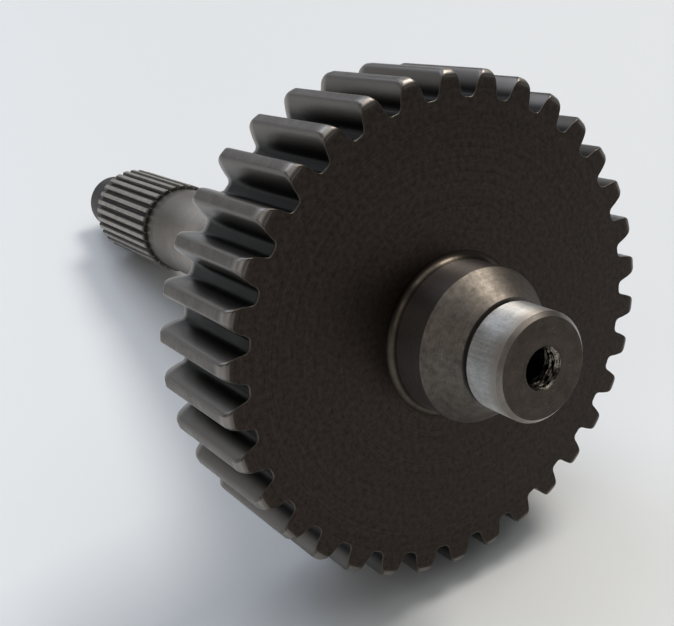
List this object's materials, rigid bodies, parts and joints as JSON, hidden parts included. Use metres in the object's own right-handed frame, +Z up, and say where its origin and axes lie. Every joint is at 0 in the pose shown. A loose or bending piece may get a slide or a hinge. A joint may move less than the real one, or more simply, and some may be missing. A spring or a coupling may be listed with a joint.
{
  "type": "gearbox output shaft",
  "caption": "Steel output shaft with an integral spur gear, a stepped journal with a tapped end hole, and a splined far end with a pilot nose.",
  "frame": {"origin": "middle of the underside of the part's box, on the surface that the shaft lies on", "axes": "+X along the part's length, from the splined end to the journal; +Z up; the shaft's own axis lies in the XZ plane and rises 15.6 degrees from +X"},
  "size_m": [0.1924, 0.098, 0.1003],
  "materials": {
    "machined_steel": "hobbed, turned and ground, with a dark heat-treated gear face"
  },
  "bodies": {
    "root": {"output_shaft": "machined_steel"}
  },
  "joints": []
}
